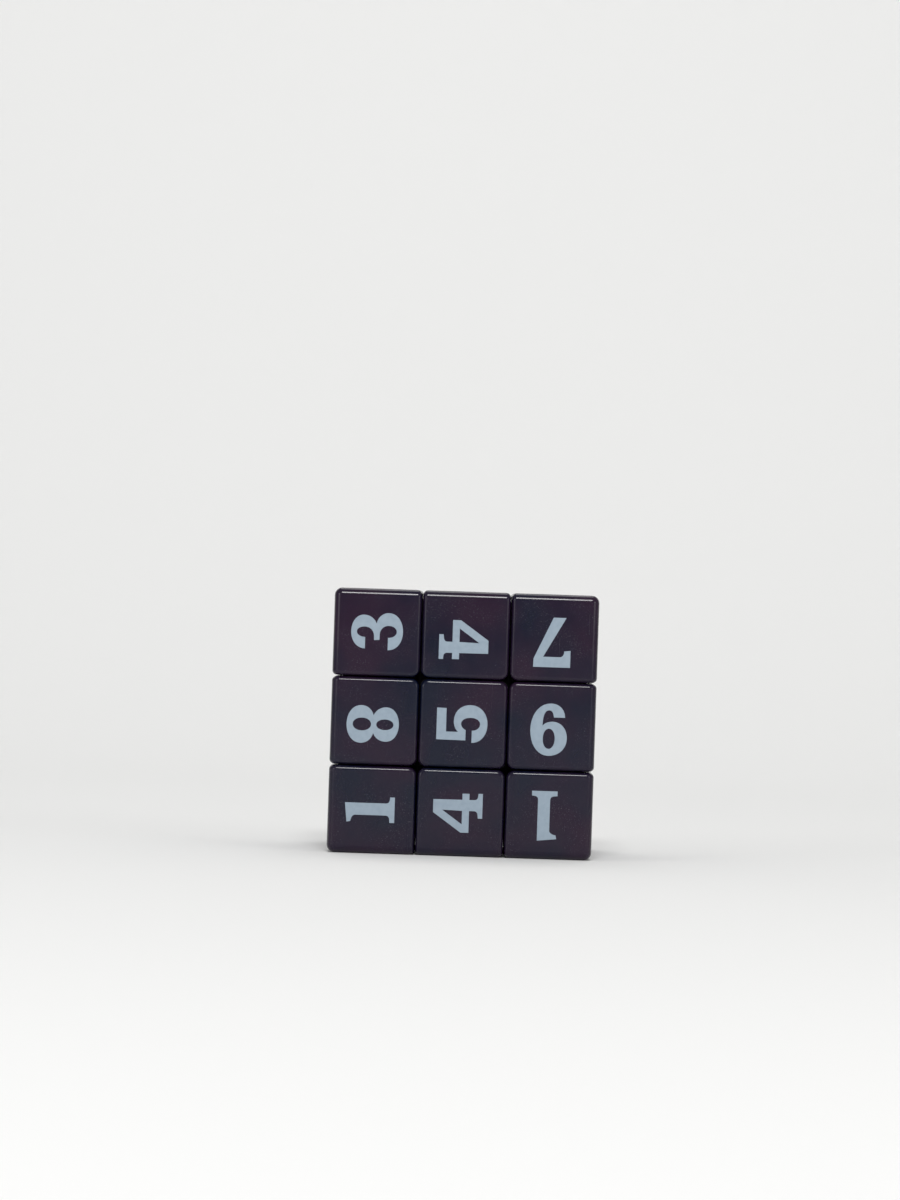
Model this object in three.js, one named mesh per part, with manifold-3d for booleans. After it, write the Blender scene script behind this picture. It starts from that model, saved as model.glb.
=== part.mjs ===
// A sudoku cube: a three by three by three turning puzzle whose cubies carry printed numbers.
// Millimetres, +Z up. The origin is the middle of the core, where the six turning axes cross.
// The front face looks along -Y and the right face along +X.
//
// How it holds together: the core carries six sprung centres on screws. The edges and corners reach
// inwards with feet that run in a spherical track under the shells, so the centres hold the edges and
// the edges hold the corners. Every layer ends at a plane and at a ball, so every layer is free to turn.
import * as THREE from "three";
import { RoundedBoxGeometry } from "three/addons/geometries/RoundedBoxGeometry.js";
import { mergeVertices } from "three/addons/utils/BufferGeometryUtils.js";
import Module from "manifold-3d";

const wasm = await Module();
wasm.setup();

// Driving dimensions of the cubies
const CUBE_EDGE = 53; // over two opposite faces
const CUBIE_GAP = 0.3; // running gap between two neighbouring cubies
const EDGE_RADIUS = 1.1; // round on every edge of a cubie
const SHELL_WALL = 1.5; // moulded wall of a hollow cubie
const SEAT_GAP = 0.3; // gap left where one piece seats on or in another

// Driving dimensions of the spherical track and the feet in it
const TRACK_DEPTH = 4.1; // from a face of the cube in to the track
const TRACK_CLEARANCE = 0.45; // running gap between the track and the feet
const FOOT_THICKNESS = 5; // measured along the radius
const FOOT_SIDE_GAP = 0.3; // running gap between two neighbouring feet
const PLUG_HEIGHT = 2.5; // how far a foot reaches up into its shell

// Driving dimensions of the centres
const CAP_DEPTH = 3.2; // height of a centre's snap-on cap
const CAP_TOP = 1.6; // wall of the cap under its printed face
const CAP_WALL = 1.4; // side wall of the cap
const WELL_CLEARANCE = 0.6; // from a screw's head to the well it sits in
const STALK_WALL = 1.5; // wall of the tube under a centre, around the well
const STALK_CLEARANCE = 0.6; // from that tube to the middle of the gap between the feet beside it
const FLOOR_THICKNESS = 1.6; // closed end of the tube, which the spring presses on

// Driving dimensions of the core, its screws and their springs
const HUB_HALF = 5; // half the width of the core's hub
const ARM_WALL = 1.8; // wall of an arm around its screw
const ARM_END = 9.7; // from the middle of the core to the end of an arm
const PILOT_DEPTH = 6.5; // depth of the screw's hole in an arm
const SCREW_RADIUS = 1.45;
const FLANGE_RADIUS = 3.3; // the washer that is one with the screw's head
const FLANGE_THICKNESS = 0.7;
const HEAD_RADIUS = 2.6;
const HEAD_HEIGHT = 1.9; // above the flange
const HEAD_CHAMFER = 0.6;
const SLOT_WIDTH = 0.8; // cross recess
const SLOT_LENGTH = 3.2;
const SLOT_DEPTH = 1.1;
const SPRING_HEIGHT = 5.4; // as fitted, from its free end to the flange
const SPRING_CLEARANCE = 1; // from the screw to the inside of the spring
const WIRE_RADIUS = 0.4;
const SPRING_TURNS = 3.5;

// How finely round faces are cut
const FILLET_STEPS = 1;
const TRACK_STEPS = 8;
const INNER_STEPS = 3;
const ROUND_SIDES = 12;
const WIRE_SIDES = 5;
const CURL_STEPS = 8;
const CUT_TOLERANCE = 0.004;

// Colours
const SHELL_BLACK = 0x1b1a1f;
const INNER_BLACK = 0x17171a;
const CORE_GREY = 0xb9b8b2;
const ZINC = 0xb4b6b8;

// Sizes that follow from the driving dimensions
const half = CUBE_EDGE / 2;
const inner = (CUBE_EDGE - 2 * CUBIE_GAP) / 6; // from the middle to the side of a middle layer
const outer = inner + CUBIE_GAP; // from the middle to the inner side of an outer layer
const trackRadius = half - TRACK_DEPTH;
const footTop = trackRadius - TRACK_CLEARANCE;
const footBottom = footTop - FOOT_THICKNESS;
const plugTop = trackRadius + PLUG_HEIGHT;
const plugNear = outer + SHELL_WALL + SEAT_GAP;
const wellRadius = FLANGE_RADIUS + WELL_CLEARANCE;
const stalkRadius = wellRadius + STALK_WALL;
const slice = stalkRadius + STALK_CLEARANCE; // where the layers part inside the track
const footNear = slice + FOOT_SIDE_GAP / 2;
const footHalf = slice - FOOT_SIDE_GAP / 2;
const capSeat = half - CAP_DEPTH;
const baseTop = capSeat - SEAT_GAP;
const screwHole = SCREW_RADIUS + SEAT_GAP;
const armRadius = screwHole + ARM_WALL;
const pilotBottom = ARM_END - PILOT_DEPTH;
const floorBottom = ARM_END + SEAT_GAP;
const floorTop = floorBottom + FLOOR_THICKNESS;
const springBottom = floorTop + SEAT_GAP;
const flangeBottom = springBottom + SPRING_HEIGHT;
const flangeTop = flangeBottom + FLANGE_THICKNESS;
const headTop = flangeTop + HEAD_HEIGHT;
const springRadius = SCREW_RADIUS + SPRING_CLEARANCE + WIRE_RADIUS;

// A closed geometry as a solid that can be cut and joined.
function solid(geometry) {
  const bare = geometry.clone();
  bare.deleteAttribute("normal");
  bare.deleteAttribute("uv");
  const merged = mergeVertices(bare);
  const corners = merged.index.array;
  const triangles = [];
  for (let i = 0; i < corners.length; i += 3) {
    const [a, b, c] = corners.slice(i, i + 3);
    if (a !== b && b !== c && c !== a) triangles.push(a, b, c);
  }
  const mesh = new wasm.Mesh({
    numProp: 3,
    vertProperties: merged.attributes.position.array,
    triVerts: new Uint32Array(triangles),
  });
  return new wasm.Manifold(mesh);
}

// A solid as a flat-shaded geometry.
function surface(body) {
  const mesh = body.simplify(CUT_TOLERANCE).getMesh();
  const indexed = new THREE.BufferGeometry();
  indexed.setAttribute("position", new THREE.BufferAttribute(mesh.vertProperties, 3));
  indexed.setIndex(new THREE.BufferAttribute(mesh.triVerts, 1));
  const flat = indexed.toNonIndexed();
  flat.computeVertexNormals();
  return flat;
}

// A block between two opposite corners, with sharp edges.
function block(low, high) {
  const size = high.map((value, i) => value - low[i]);
  const made = new THREE.BoxGeometry(...size);
  made.translate(...size.map((value, i) => low[i] + value / 2));
  return solid(made);
}

// A block between two opposite corners, with every edge rounded as on a cubie.
function roundedBlock(low, high) {
  const size = high.map((value, i) => value - low[i]);
  const made = new RoundedBoxGeometry(...size, FILLET_STEPS, EDGE_RADIUS);
  made.translate(...size.map((value, i) => low[i] + value / 2));
  return solid(made);
}

// A ball about the middle of the core, cut alike along all three axes.
function ball(radius, steps = TRACK_STEPS) {
  return solid(new THREE.OctahedronGeometry(radius, steps));
}

// A round rod about a line through the origin, between two distances along it.
function rod(radius, from, to, direction = [0, 0, 1]) {
  const made = new THREE.CylinderGeometry(radius, radius, to - from, ROUND_SIDES);
  made.translate(0, (from + to) / 2, 0);
  const turn = new THREE.Quaternion();
  turn.setFromUnitVectors(new THREE.Vector3(0, 1, 0), new THREE.Vector3(...direction));
  made.applyQuaternion(turn);
  return solid(made);
}

// A turned piece about Z, from its outline as [radius, height] points, upwards.
function turned(outline) {
  const points = outline.map(([radius, height]) => new THREE.Vector2(radius, height));
  const made = new THREE.LatheGeometry(points, ROUND_SIDES);
  made.rotateX(Math.PI / 2);
  return solid(made);
}

// The part of the feet's layer, or of that layer up to a given radius, that lies in a block.
function footIn(low, high, top = footTop) {
  return ball(top).subtract(ball(footBottom, INNER_STEPS)).intersect(block(low, high));
}

// A cubie's outer shell, a hollow rounded block that is open towards the core.
function shell(low, high) {
  const pocketLow = low.map((value) => value + SHELL_WALL);
  const pocketHigh = high.map((value) => value - SHELL_WALL);
  return roundedBlock(low, high).subtract(ball(trackRadius)).subtract(block(pocketLow, pocketHigh));
}

// A corner's shell. Its faces look along X, Y and Z.
function cornerShell() {
  return shell([outer, outer, outer], [half, half, half]);
}

// A corner's foot, with the plug that closes its shell.
function cornerFoot() {
  const far = [half, half, half];
  const foot = footIn([footNear, footNear, footNear], far);
  return foot.add(footIn([plugNear, plugNear, plugNear], far, plugTop));
}

// An edge's shell. Its faces look along Y and Z.
function edgeShell() {
  return shell([-inner, outer, outer], [inner, half, half]);
}

// An edge's foot, with a narrow neck in the track and a wide plug that closes its shell.
function edgeFoot() {
  const plugHalf = inner - SHELL_WALL - SEAT_GAP;
  const foot = footIn([-footHalf, footNear, footNear], [footHalf, half, half]);
  const neck = footIn([-footHalf, plugNear, plugNear], [footHalf, half, half], plugTop);
  const plug = footIn([-plugHalf, plugNear, plugNear], [plugHalf, half, half], plugTop);
  return foot.add(neck).add(plug.subtract(ball(trackRadius)));
}

// The body of a centre, with the tube that holds its spring. Its face looks along Z.
function centreBase() {
  const body = roundedBlock([-inner, -inner, outer], [inner, inner, half])
    .intersect(block([-inner, -inner, outer], [inner, inner, baseTop]))
    .subtract(ball(trackRadius));
  const ledgeHalf = inner - CAP_WALL - SEAT_GAP;
  const ledgeTop = half - CAP_TOP - SEAT_GAP;
  const ledge = block([-ledgeHalf, -ledgeHalf, baseTop - SEAT_GAP], [ledgeHalf, ledgeHalf, ledgeTop]);
  const tube = rod(stalkRadius, floorBottom, baseTop);
  const well = rod(wellRadius, floorTop, half);
  return body.add(ledge).add(tube).subtract(well).subtract(rod(screwHole, 0, half));
}

// The cap that covers a centre's screw and carries its number.
function centreCap() {
  const pocketHalf = inner - CAP_WALL;
  const pocket = block([-pocketHalf, -pocketHalf, 0], [pocketHalf, pocketHalf, half - CAP_TOP]);
  return roundedBlock([-inner, -inner, outer], [inner, inner, half])
    .intersect(block([-inner, -inner, capSeat], [inner, inner, half]))
    .subtract(pocket);
}

// The six-armed core, with a screw hole in the end of each arm.
function core(directions) {
  let made = roundedBlock([-HUB_HALF, -HUB_HALF, -HUB_HALF], [HUB_HALF, HUB_HALF, HUB_HALF]);
  for (const direction of directions) made = made.add(rod(armRadius, 0, ARM_END, direction));
  for (const direction of directions) made = made.subtract(rod(screwHole, pilotBottom, half, direction));
  return made;
}

// The middle line of a spring's wire: a helix about Z that ends in the flange of its screw.
class SpringLine extends THREE.Curve {
  getPoint(share, target = new THREE.Vector3()) {
    const angle = share * SPRING_TURNS * 2 * Math.PI;
    const height = springBottom + WIRE_RADIUS + share * (SPRING_HEIGHT - WIRE_RADIUS);
    return target.set(springRadius * Math.cos(angle), springRadius * Math.sin(angle), height);
  }
}

const springSteps = Math.round(SPRING_TURNS * CURL_STEPS);

// A compression spring, one unbroken wire.
function spring() {
  const section = new THREE.Shape();
  for (let side = 0; side < WIRE_SIDES; side++) {
    const angle = (side / WIRE_SIDES) * 2 * Math.PI;
    const across = WIRE_RADIUS * Math.cos(angle);
    const along = WIRE_RADIUS * Math.sin(angle);
    if (side === 0) section.moveTo(across, along);
    else section.lineTo(across, along);
  }
  return solid(new THREE.ExtrudeGeometry(section, { extrudePath: new SpringLine(), steps: springSteps }));
}

// The least gap between the spring's turns, measured between points of its middle line.
function springGap() {
  const points = new SpringLine().getPoints(springSteps);
  let least = Infinity;
  points.forEach((point, i) => {
    for (const other of points.slice(i + CURL_STEPS / 2)) least = Math.min(least, point.distanceTo(other));
  });
  return least - 2 * WIRE_RADIUS;
}

// A washer-head screw with a cross recess along Z, and the spring that is held under its head.
function screw() {
  const tip = pilotBottom + SEAT_GAP;
  const body = turned([
    [0, tip],
    [SCREW_RADIUS, tip],
    [SCREW_RADIUS, flangeBottom],
    [FLANGE_RADIUS, flangeBottom],
    [FLANGE_RADIUS, flangeTop],
    [HEAD_RADIUS, flangeTop],
    [HEAD_RADIUS, headTop - HEAD_CHAMFER],
    [HEAD_RADIUS - HEAD_CHAMFER, headTop],
    [0, headTop],
  ]);
  const long = SLOT_LENGTH / 2;
  const wide = SLOT_WIDTH / 2;
  const slotBottom = headTop - SLOT_DEPTH;
  return body
    .subtract(block([-long, -wide, slotBottom], [long, wide, half]))
    .subtract(block([-wide, -long, slotBottom], [wide, long, half]))
    .add(spring());
}

function cross([a, b, c], [d, e, f]) {
  return [b * f - c * e, c * d - a * f, a * e - b * d];
}

const cube = new THREE.Group();
cube.name = "sudoku_cube";

// Adds one named piece, with its own X, Y and Z axes along the given directions.
function place(name, geometry, material, axes) {
  const mesh = new THREE.Mesh(geometry, material.clone());
  mesh.name = name;
  mesh.applyMatrix4(new THREE.Matrix4().makeBasis(...axes.map((axis) => new THREE.Vector3(...axis))));
  cube.add(mesh);
}

const faces = {
  top: [0, 0, 1],
  bottom: [0, 0, -1],
  front: [0, -1, 0],
  back: [0, 1, 0],
  left: [-1, 0, 0],
  right: [1, 0, 0],
};
const poles = ["top", "bottom"];
const fronts = ["front", "back"];
const sides = ["left", "right"];

const shellPlastic = new THREE.MeshStandardMaterial({ color: SHELL_BLACK, roughness: 0.3, metalness: 0 });
const innerPlastic = new THREE.MeshStandardMaterial({ color: INNER_BLACK, roughness: 0.5, metalness: 0 });
const corePlastic = new THREE.MeshStandardMaterial({ color: CORE_GREY, roughness: 0.5, metalness: 0 });
const zincSteel = new THREE.MeshStandardMaterial({ color: ZINC, roughness: 0.35, metalness: 1 });

place("core", surface(core(Object.values(faces))), corePlastic, [faces.right, faces.back, faces.top]);

// The six centres, each with its cap and its sprung screw, all along the face's own axis.
const centrePieces = [
  ["centre_base", surface(centreBase()), innerPlastic],
  ["centre_cap", surface(centreCap()), shellPlastic],
  ["screw", surface(screw()), zincSteel],
];
for (const [face, normal] of Object.entries(faces)) {
  const aside = poles.includes(face) ? faces.right : faces.top;
  const axes = [aside, cross(normal, aside), normal];
  for (const [name, shape, material] of centrePieces) place(`${name}_${face}`, shape, material, axes);
}

// The twelve edges, one for each pair of faces that meet.
const edgePieces = [
  ["edge_shell", surface(edgeShell()), shellPlastic],
  ["edge_foot", surface(edgeFoot()), innerPlastic],
];
for (const [firsts, seconds] of [[poles, fronts], [poles, sides], [fronts, sides]]) {
  for (const a of firsts) {
    for (const b of seconds) {
      const axes = [cross(faces[a], faces[b]), faces[a], faces[b]];
      for (const [name, shape, material] of edgePieces) place(`${name}_${a}_${b}`, shape, material, axes);
    }
  }
}

// The eight corners, one for each three faces that meet.
const cornerPieces = [
  ["corner_shell", surface(cornerShell()), shellPlastic],
  ["corner_foot", surface(cornerFoot()), innerPlastic],
];
for (const a of poles) {
  for (const b of fronts) {
    for (const c of sides) {
      const third = new THREE.Vector3(...cross(faces[a], faces[b]));
      const righthanded = third.dot(new THREE.Vector3(...faces[c])) > 0;
      const axes = righthanded ? [faces[a], faces[b], faces[c]] : [faces[b], faces[a], faces[c]];
      for (const [name, shape, material] of cornerPieces) {
        place(`${name}_${a}_${b}_${c}`, shape, material, axes);
      }
    }
  }
}

console.log(`least gap between a spring's turns: ${springGap().toFixed(2)} mm`);

export default cube;
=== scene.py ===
"""Dresses the sudoku cube: rounded black cubies, printed digits, sprung screws, studio and camera."""

import logging
import math
import random
from dataclasses import dataclass, field
from enum import Enum

import bmesh
import bpy
from mathutils import Matrix, Vector

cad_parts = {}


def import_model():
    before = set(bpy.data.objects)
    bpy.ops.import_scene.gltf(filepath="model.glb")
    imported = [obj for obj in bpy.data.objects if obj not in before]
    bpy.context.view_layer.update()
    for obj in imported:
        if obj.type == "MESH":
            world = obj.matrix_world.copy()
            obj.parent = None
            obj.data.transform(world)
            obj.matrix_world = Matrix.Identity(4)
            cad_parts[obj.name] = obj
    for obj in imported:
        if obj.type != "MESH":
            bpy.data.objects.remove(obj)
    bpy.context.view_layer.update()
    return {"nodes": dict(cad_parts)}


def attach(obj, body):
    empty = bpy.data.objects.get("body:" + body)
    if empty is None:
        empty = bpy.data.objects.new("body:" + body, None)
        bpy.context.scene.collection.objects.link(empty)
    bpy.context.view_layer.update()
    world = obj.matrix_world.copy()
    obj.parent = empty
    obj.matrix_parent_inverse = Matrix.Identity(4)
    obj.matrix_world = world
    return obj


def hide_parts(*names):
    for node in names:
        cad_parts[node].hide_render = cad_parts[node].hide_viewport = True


MM = 0.001
SAME_PLACE = 1e-7
SMOOTH_BELOW = math.radians(38)
ROUND_PROFILE = 0.5
NONE_TO_FULL = (0.0, 1.0)
# The mix node's colour sockets go by number, because other sockets of it have the same names
MIX_FIRST = 6
MIX_SECOND = 7
MIX_RESULT = 2

Band = tuple[float, float]
Colour = tuple[float, float, float, float]
Point = tuple[float, float]
Socket = bpy.types.NodeSocket
log = logging.getLogger("sudoku_cube")


class Face(Enum):
    """A face of the cube: its name, its outward direction, and the way its tiles read from outside."""

    TOP = ("top", (0, 0, 1), (1, 0, 0), (0, 1, 0))
    BOTTOM = ("bottom", (0, 0, -1), (1, 0, 0), (0, -1, 0))
    FRONT = ("front", (0, -1, 0), (1, 0, 0), (0, 0, 1))
    BACK = ("back", (0, 1, 0), (-1, 0, 0), (0, 0, 1))
    LEFT = ("left", (-1, 0, 0), (0, -1, 0), (0, 0, 1))
    RIGHT = ("right", (1, 0, 0), (0, 1, 0), (0, 0, 1))

    def __init__(
        self,
        label: str,
        normal: tuple[int, int, int],
        across: tuple[int, int, int],
        up: tuple[int, int, int],
    ) -> None:
        """Keeps the face's name and its three directions.

        Args:
            label: The face's name.
            normal: The way out of the cube.
            across: The way to the right of the face, seen from outside.
            up: The way to the top of the face, seen from outside.
        """
        self.label = label
        self.normal = Vector(normal)
        self.across = Vector(across)
        self.up = Vector(up)


class Kind(Enum):
    """The three kinds of cubie, by how many faces of the cube they show."""

    CENTRE = 1
    EDGE = 2
    CORNER = 3


class Turn(Enum):
    """Which way the top of a printed digit points on its tile, in degrees anticlockwise from upright."""

    UPRIGHT = 0
    TO_LEFT = 90
    UPSIDE_DOWN = 180
    TO_RIGHT = 270


@dataclass(frozen=True)
class Cell:
    """One cubie's place in the cube, as steps of one cubie from the middle."""

    step: tuple[int, int, int]

    def faces(self) -> list[Face]:
        """Lists the faces of the cube that this cubie shows, in the order its name gives them."""
        return [face for face in Face if face.normal.dot(Vector(self.step)) > 0]

    def kind(self) -> Kind:
        """Says whether this is a centre, an edge or a corner."""
        return Kind(len(self.faces()))

    def place_name(self) -> str:
        """Names the place, such as top_front_left."""
        return "_".join(face.label for face in self.faces())

    def body(self) -> str:
        """Names the moving body that this cubie is."""
        return f"{self.kind().name.lower()}_{self.place_name()}"

    def shell_node(self) -> str:
        """Names the solid that the cubie's visible shell stands for."""
        kinds = {Kind.CENTRE: "centre_cap", Kind.EDGE: "edge_shell", Kind.CORNER: "corner_shell"}
        return f"{kinds[self.kind()]}_{self.place_name()}"

    def turn_from_pattern(self) -> Matrix:
        """Gives the turn from the pattern cubie, whose faces look along Z, then Y, then X, to this one.

        Returns:
            A rotation matrix without mirroring.
        """
        normals = [face.normal for face in self.faces()]
        if self.kind() is Kind.CENTRE:
            aside = Vector((1, 0, 0)) if normals[0].z else Vector((0, 0, 1))
            axes = [aside, normals[0].cross(aside), normals[0]]
        elif self.kind() is Kind.EDGE:
            axes = [normals[0].cross(normals[1]), normals[0], normals[1]]
        else:
            righthanded = normals[0].cross(normals[1]).dot(normals[2]) > 0
            axes = normals if righthanded else [normals[1], normals[0], normals[2]]
        return Matrix(axes).transposed().to_4x4()


def all_cells() -> list[Cell]:
    """Lists the 26 cubies, which is every place but the middle."""
    steps = (-1, 0, 1)
    return [Cell((x, y, z)) for x in steps for y in steps for z in steps if (x, y, z) != (0, 0, 0)]


def srgb(red: int, green: int, blue: int) -> Colour:
    """Turns a screen colour into the linear colour that a shader takes.

    Args:
        red: Red from 0 to 255.
        green: Green from 0 to 255.
        blue: Blue from 0 to 255.

    Returns:
        Linear red, green, blue and an alpha of 1.
    """

    def linear(level: int) -> float:
        """Undoes the screen's tone curve for one level."""
        share = level / 255
        return share / 12.92 if share <= 0.04045 else ((share + 0.055) / 1.055) ** 2.4

    return (linear(red), linear(green), linear(blue), 1.0)


class NodeDesk:
    """Adds nodes to a node tree and links them, in a few words."""

    def __init__(self, tree: bpy.types.NodeTree) -> None:
        """Keeps the tree that it works on."""
        self.tree = tree

    def add(self, kind: str, inputs: dict | None = None, **settings: object) -> bpy.types.Node:
        """Adds one node.

        Args:
            kind: Blender's name of the node type.
            inputs: Values, or sockets to link, by input name or number.
            settings: Properties of the node itself.

        Returns:
            The new node.
        """
        node = self.tree.nodes.new(kind)
        for name, value in settings.items():
            setattr(node, name, value)
        for name, value in (inputs or {}).items():
            self.feed(node, name, value)
        return node

    def feed(self, node: bpy.types.Node, name: str | int, value: object) -> None:
        """Sets one input of a node, or links a socket or several to it.

        Args:
            node: The node to feed.
            name: The input's name or number.
            value: A plain value, a socket, or a list of sockets.
        """
        socket = node.inputs[name]
        if isinstance(value, Socket):
            self.tree.links.new(value, socket)
        elif isinstance(value, list):
            for source in value:
                self.tree.links.new(source, socket)
        else:
            socket.default_value = value


@dataclass(frozen=True)
class Noise:
    """Soft noise in a finish: how fine it is, how many finer layers it has, and which values count."""

    scale: float
    detail: float
    band: Band = NONE_TO_FULL


class MaterialDesk(NodeDesk):
    """Adds nodes to a new material, around its surface shader."""

    def __init__(self, name: str) -> None:
        """Starts a material.

        Args:
            name: The material's name.
        """
        self.material = bpy.data.materials.new(name)
        self.material.use_nodes = True
        super().__init__(self.material.node_tree)
        self.shader = self.tree.nodes["Principled BSDF"]

    def place(self) -> Socket:
        """Gives the socket with the place in the cube."""
        return self.add("ShaderNodeTexCoord").outputs["Object"]

    def surface(self, **inputs: object) -> None:
        """Sets or links the shader's inputs, whose names have underscores here in place of spaces."""
        for name, value in inputs.items():
            self.feed(self.shader, name.replace("_", " "), value)

    def noise(self, place: Socket, kind: Noise) -> Socket:
        """Adds soft noise, read at the place that a socket gives."""
        node = self.add("ShaderNodeTexNoise", {"Vector": place, "Scale": kind.scale, "Detail": kind.detail})
        return node.outputs["Fac"]

    def spread(self, value: Socket, old: Band, new: Band) -> Socket:
        """Spreads a range of values over a new range, and holds it at the ends.

        Args:
            value: The socket that gives the values.
            old: The lowest and highest value to spread.
            new: What they become.

        Returns:
            The socket with the new values.
        """
        node = self.add("ShaderNodeMapRange", {"Value": value, "From Min": old[0], "From Max": old[1]})
        self.feed(node, "To Min", new[0])
        self.feed(node, "To Max", new[1])
        return node.outputs["Result"]

    def spread_noise(self, place: Socket, kind: Noise, new: Band = NONE_TO_FULL) -> Socket:
        """Adds soft noise and spreads the values that count over a new range."""
        return self.spread(self.noise(place, kind), kind.band, new)

    def blend(self, share: Socket, first: Colour | Socket, second: Colour | Socket) -> Socket:
        """Blends two colours.

        Args:
            share: The socket with the second colour's share.
            first: The first colour.
            second: The second colour.

        Returns:
            The socket with the blend.
        """
        node = self.add("ShaderNodeMix", {"Factor": share}, data_type="RGBA")
        self.feed(node, MIX_FIRST, first)
        self.feed(node, MIX_SECOND, second)
        return node.outputs[MIX_RESULT]

    def reckon(self, operation: str, *values: float | Socket) -> Socket:
        """Works out one operation, by Blender's name for it, on numbers and sockets in its own order."""
        return self.add("ShaderNodeMath", dict(enumerate(values)), operation=operation).outputs["Value"]

    def bump(self, height: Socket, strength: float, distance: float) -> Socket:
        """Turns heights into a bumpy surface, where the distance is how high a height of 1 is."""
        node = self.add("ShaderNodeBump", {"Height": height, "Strength": strength, "Distance": distance})
        return node.outputs["Normal"]


@dataclass(frozen=True)
class Moulded:
    """A moulded plastic: two close tones in soft clouds, orange peel, smudges, hairlines and dust.

    If it is polished, the polish ends at a depth below the cube's faces, and what is deeper stays matt.
    """

    name: str
    dark: Colour
    light: Colour
    roughness: Band
    peel: float
    gloss_level: float = 0.5
    dust: float = 0.0
    polished_from: Band = (0.0, 0.0)
    inside_roughness: float = 0.62
    clouds: Noise = Noise(70.0, 3.0, (0.35, 0.65))
    smudges: Noise = Noise(150.0, 4.0, (0.35, 0.65))
    hairlines: Noise = Noise(2400.0, 2.0, (0.62, 0.74))
    hairline_slant: tuple[float, float, float] = (0.8, 0.75, 0.4)
    hairline_stretch: float = 0.03
    hairline_dulling: float = 0.12
    dust_specks: Noise = Noise(7000.0, 1.0, (0.67, 0.76))
    dust_patches: Noise = Noise(150.0, 2.0, (0.42, 0.62))
    dust_colour: Colour = srgb(132, 132, 140)
    orange_peel: Noise = Noise(2600.0, 2.0)
    peel_height: float = 0.02 * MM

    def tone(self, desk: MaterialDesk, place: Socket) -> Socket:
        """Clouds the two tones into each other and lets dust settle on them in patches.

        Args:
            desk: The material's desk.
            place: The socket with the place in the cube.

        Returns:
            The socket with the colour.
        """
        plastic = desk.blend(desk.spread_noise(place, self.clouds), self.dark, self.light)
        specks = desk.spread_noise(place, self.dust_specks)
        patches = desk.spread_noise(place, self.dust_patches, (0.0, self.dust))
        return desk.blend(desk.reckon("MULTIPLY", specks, patches), plastic, self.dust_colour)

    def dullness(self, desk: MaterialDesk, place: Socket) -> Socket:
        """Smudges the faces and draws slanted hairlines across them.

        Args:
            desk: The material's desk.
            place: The socket with the place in the cube.

        Returns:
            The socket with the roughness of the faces.
        """
        smudge = desk.spread_noise(place, self.smudges, self.roughness)
        stretch = (1.0, 1.0, self.hairline_stretch)
        slant = desk.add(
            "ShaderNodeMapping", {"Vector": place, "Rotation": self.hairline_slant, "Scale": stretch}
        )
        hairline = desk.spread_noise(slant.outputs["Vector"], self.hairlines)
        return desk.reckon("MULTIPLY_ADD", hairline, self.hairline_dulling, smudge)

    def matt_inside(self, desk: MaterialDesk, place: Socket, rough: Socket) -> Socket:
        """Leaves the walls that face other cubies as rough as the mould made them.

        Args:
            desk: The material's desk.
            place: The socket with the place in the cube.
            rough: The socket with the roughness of the polished faces.

        Returns:
            The socket with the roughness of faces and walls.
        """
        axes = desk.add("ShaderNodeSeparateXYZ", {"Vector": place})
        reach = 0.0
        for axis in axes.outputs:
            reach = desk.reckon("MAXIMUM", desk.reckon("ABSOLUTE", axis), reach)
        wall = desk.spread(reach, self.polished_from, (self.inside_roughness, 0.0))
        return desk.reckon("MAXIMUM", rough, wall)

    def make(self) -> bpy.types.Material:
        """Builds the material.

        Returns:
            The finished material.
        """
        desk = MaterialDesk(self.name)
        place = desk.place()
        rough = self.dullness(desk, place)
        if any(self.polished_from):
            rough = self.matt_inside(desk, place, rough)
        skin = desk.bump(desk.noise(place, self.orange_peel), self.peel, self.peel_height)
        desk.surface(Base_Color=self.tone(desk, place), Roughness=rough, Normal=skin)
        desk.surface(Specular_IOR_Level=self.gloss_level)
        return desk.material


@dataclass(frozen=True)
class Ink:
    """The pale printing ink of the digits, slightly mottled and matter than the plastic."""

    name: str
    thin: Colour
    full: Colour
    roughness: Band
    mottle: Noise = Noise(900.0, 5.0, (0.3, 0.6))
    dull_band: Band = (0.3, 0.7)
    grain: Noise = Noise(6000.0, 2.0)
    grain_strength: float = 0.2
    grain_height: float = 0.01 * MM

    def make(self) -> bpy.types.Material:
        """Builds the material.

        Returns:
            The finished material.
        """
        desk = MaterialDesk(self.name)
        place = desk.place()
        mottle = desk.noise(place, self.mottle)
        tone = desk.blend(desk.spread(mottle, self.mottle.band, NONE_TO_FULL), self.thin, self.full)
        skin = desk.bump(desk.noise(place, self.grain), self.grain_strength, self.grain_height)
        rough = desk.spread(mottle, self.dull_band, self.roughness)
        desk.surface(Base_Color=tone, Roughness=rough, Normal=skin)
        return desk.material


@dataclass(frozen=True)
class Plated:
    """Zinc-plated steel with the spangle of its plating."""

    name: str
    dull: Colour
    bright: Colour
    roughness: Band
    spangle_scale: float = 1800.0
    dull_band: Band = (0.0, 0.7)

    def make(self) -> bpy.types.Material:
        """Builds the material.

        Returns:
            The finished material.
        """
        desk = MaterialDesk(self.name)
        cells = desk.add("ShaderNodeTexVoronoi", {"Vector": desk.place(), "Scale": self.spangle_scale})
        spangle = cells.outputs["Distance"]
        rough = desk.spread(spangle, self.dull_band, self.roughness)
        desk.surface(Base_Color=desk.blend(spangle, self.dull, self.bright), Roughness=rough, Metallic=1.0)
        return desk.material


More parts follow.
